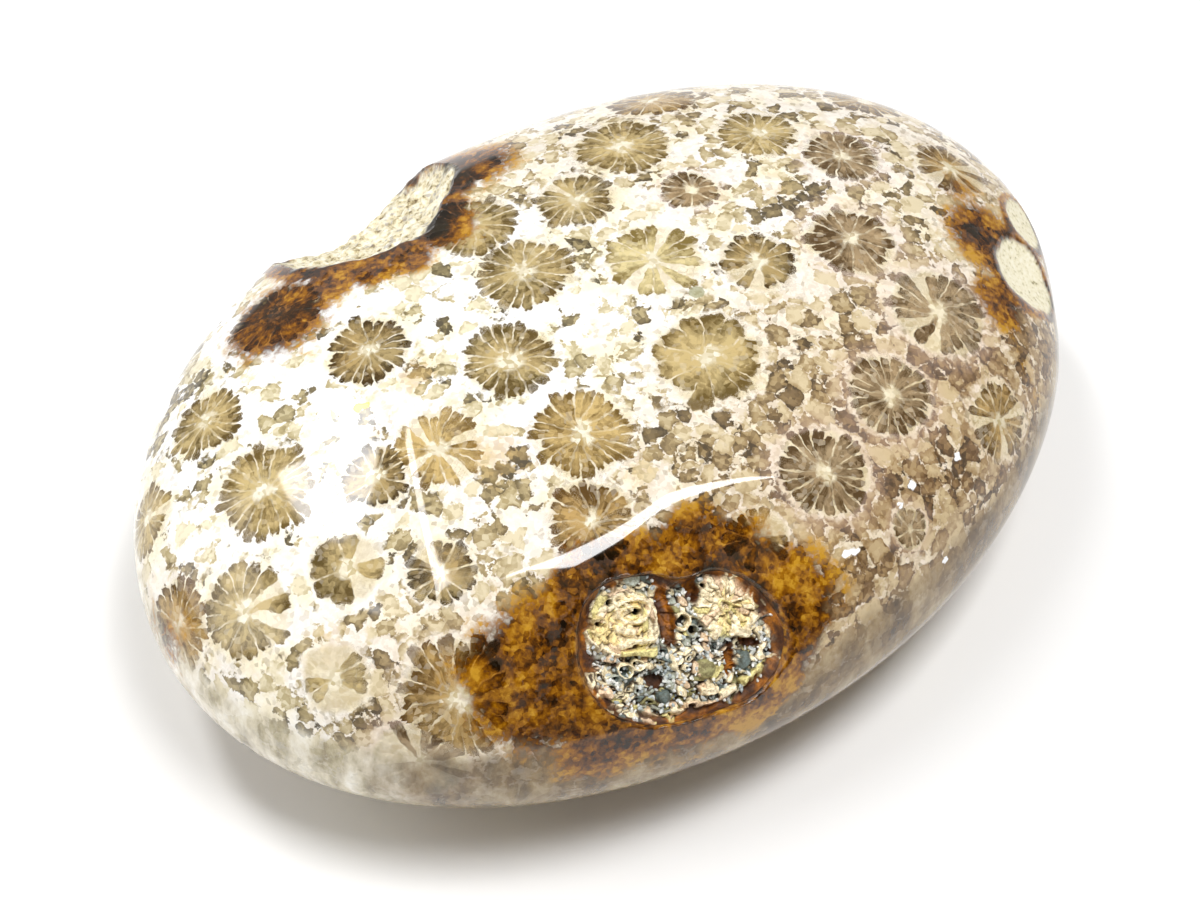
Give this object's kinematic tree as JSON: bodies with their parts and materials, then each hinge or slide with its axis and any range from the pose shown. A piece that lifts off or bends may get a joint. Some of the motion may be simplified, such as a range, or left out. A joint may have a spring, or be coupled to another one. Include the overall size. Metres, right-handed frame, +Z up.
{
  "type": "polished fossil coral palm stone",
  "caption": "Flat oval palm stone of agatised fossil coral, with a crusted hollow in its front shoulder and a rough notch in its back rim.",
  "frame": {"origin": "middle of the underside: the centre of the bounding box in plan, at the height of the flat that the stone lies on", "axes": "+X along the stone's long axis, +Z up through its crown, +Y towards the back, where the rough notch is"},
  "size_m": [0.072, 0.052, 0.025],
  "materials": {
    "agatised_coral": "polished",
    "drusy_crust": "rough"
  },
  "bodies": {
    "root": {"coral_stone": "agatised_coral", "hollow_crust": "drusy_crust"}
  },
  "joints": []
}
